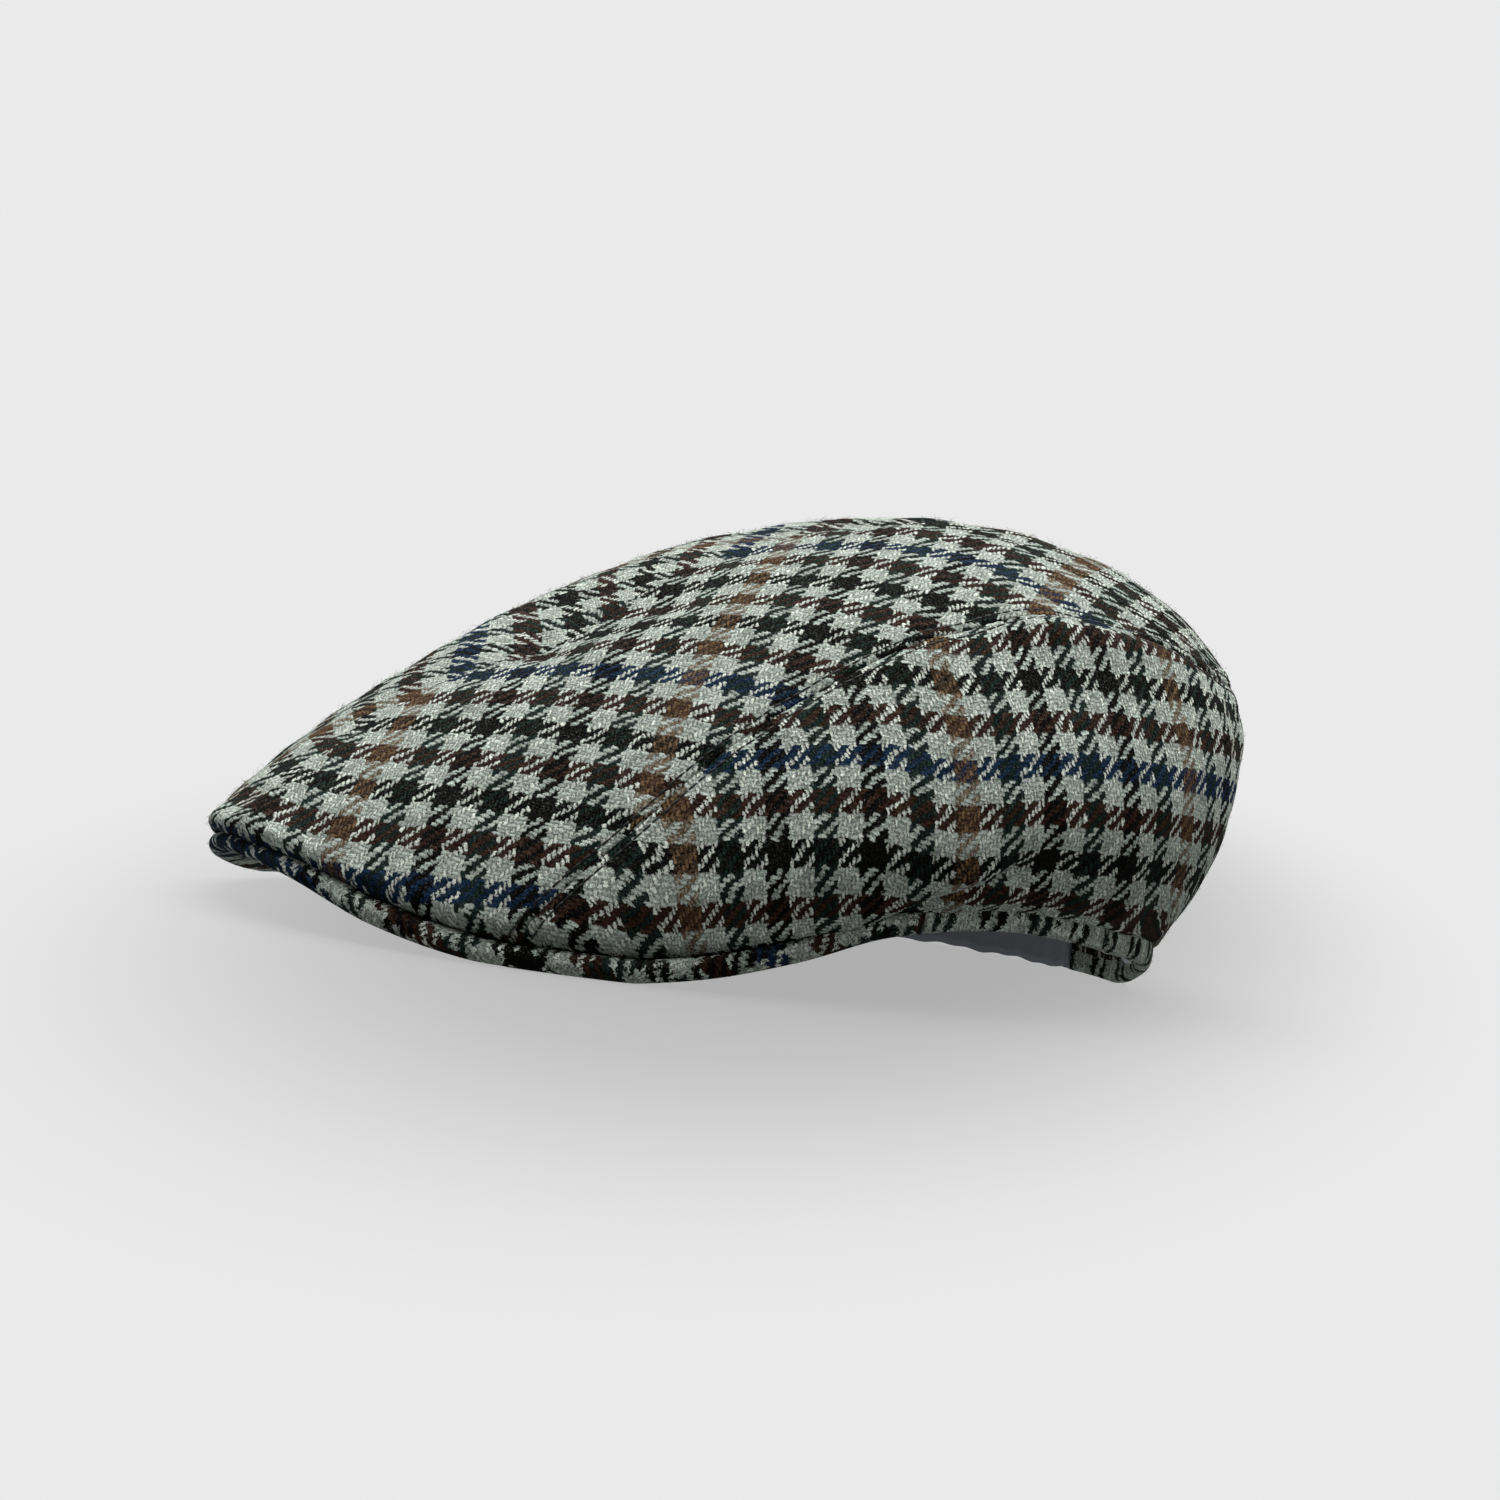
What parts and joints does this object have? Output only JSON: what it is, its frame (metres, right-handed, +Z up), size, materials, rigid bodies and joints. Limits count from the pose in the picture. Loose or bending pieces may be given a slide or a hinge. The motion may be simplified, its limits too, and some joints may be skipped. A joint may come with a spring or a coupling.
{
  "type": "flat cap",
  "caption": "Duckbill flat cap with a two-piece top, side panels, a stiff peak, a hem strip and a sweatband inside the head opening.",
  "frame": {"origin": "bottom centre of the cap's bounding box, on the surface that it rests on", "axes": "+Z up, -Y towards the peak, +X towards the wearer's left"},
  "size_m": [0.2118, 0.271, 0.1158],
  "materials": {
    "checked_wool": "matte woollen houndstooth check: pale green-white with black, dark green, maroon-brown, navy and tan",
    "edge_wool": "the same woollen check, cut across for the edge of the peak and the hem strip",
    "sweatband": "smooth matte blue-grey cotton band"
  },
  "bodies": {
    "root": {"top_panel_left": "checked_wool", "top_panel_right": "checked_wool", "side_panel_left": "checked_wool", "side_panel_right": "checked_wool", "peak": "edge_wool", "rim_band": "edge_wool", "sweatband": "sweatband"}
  },
  "joints": []
}
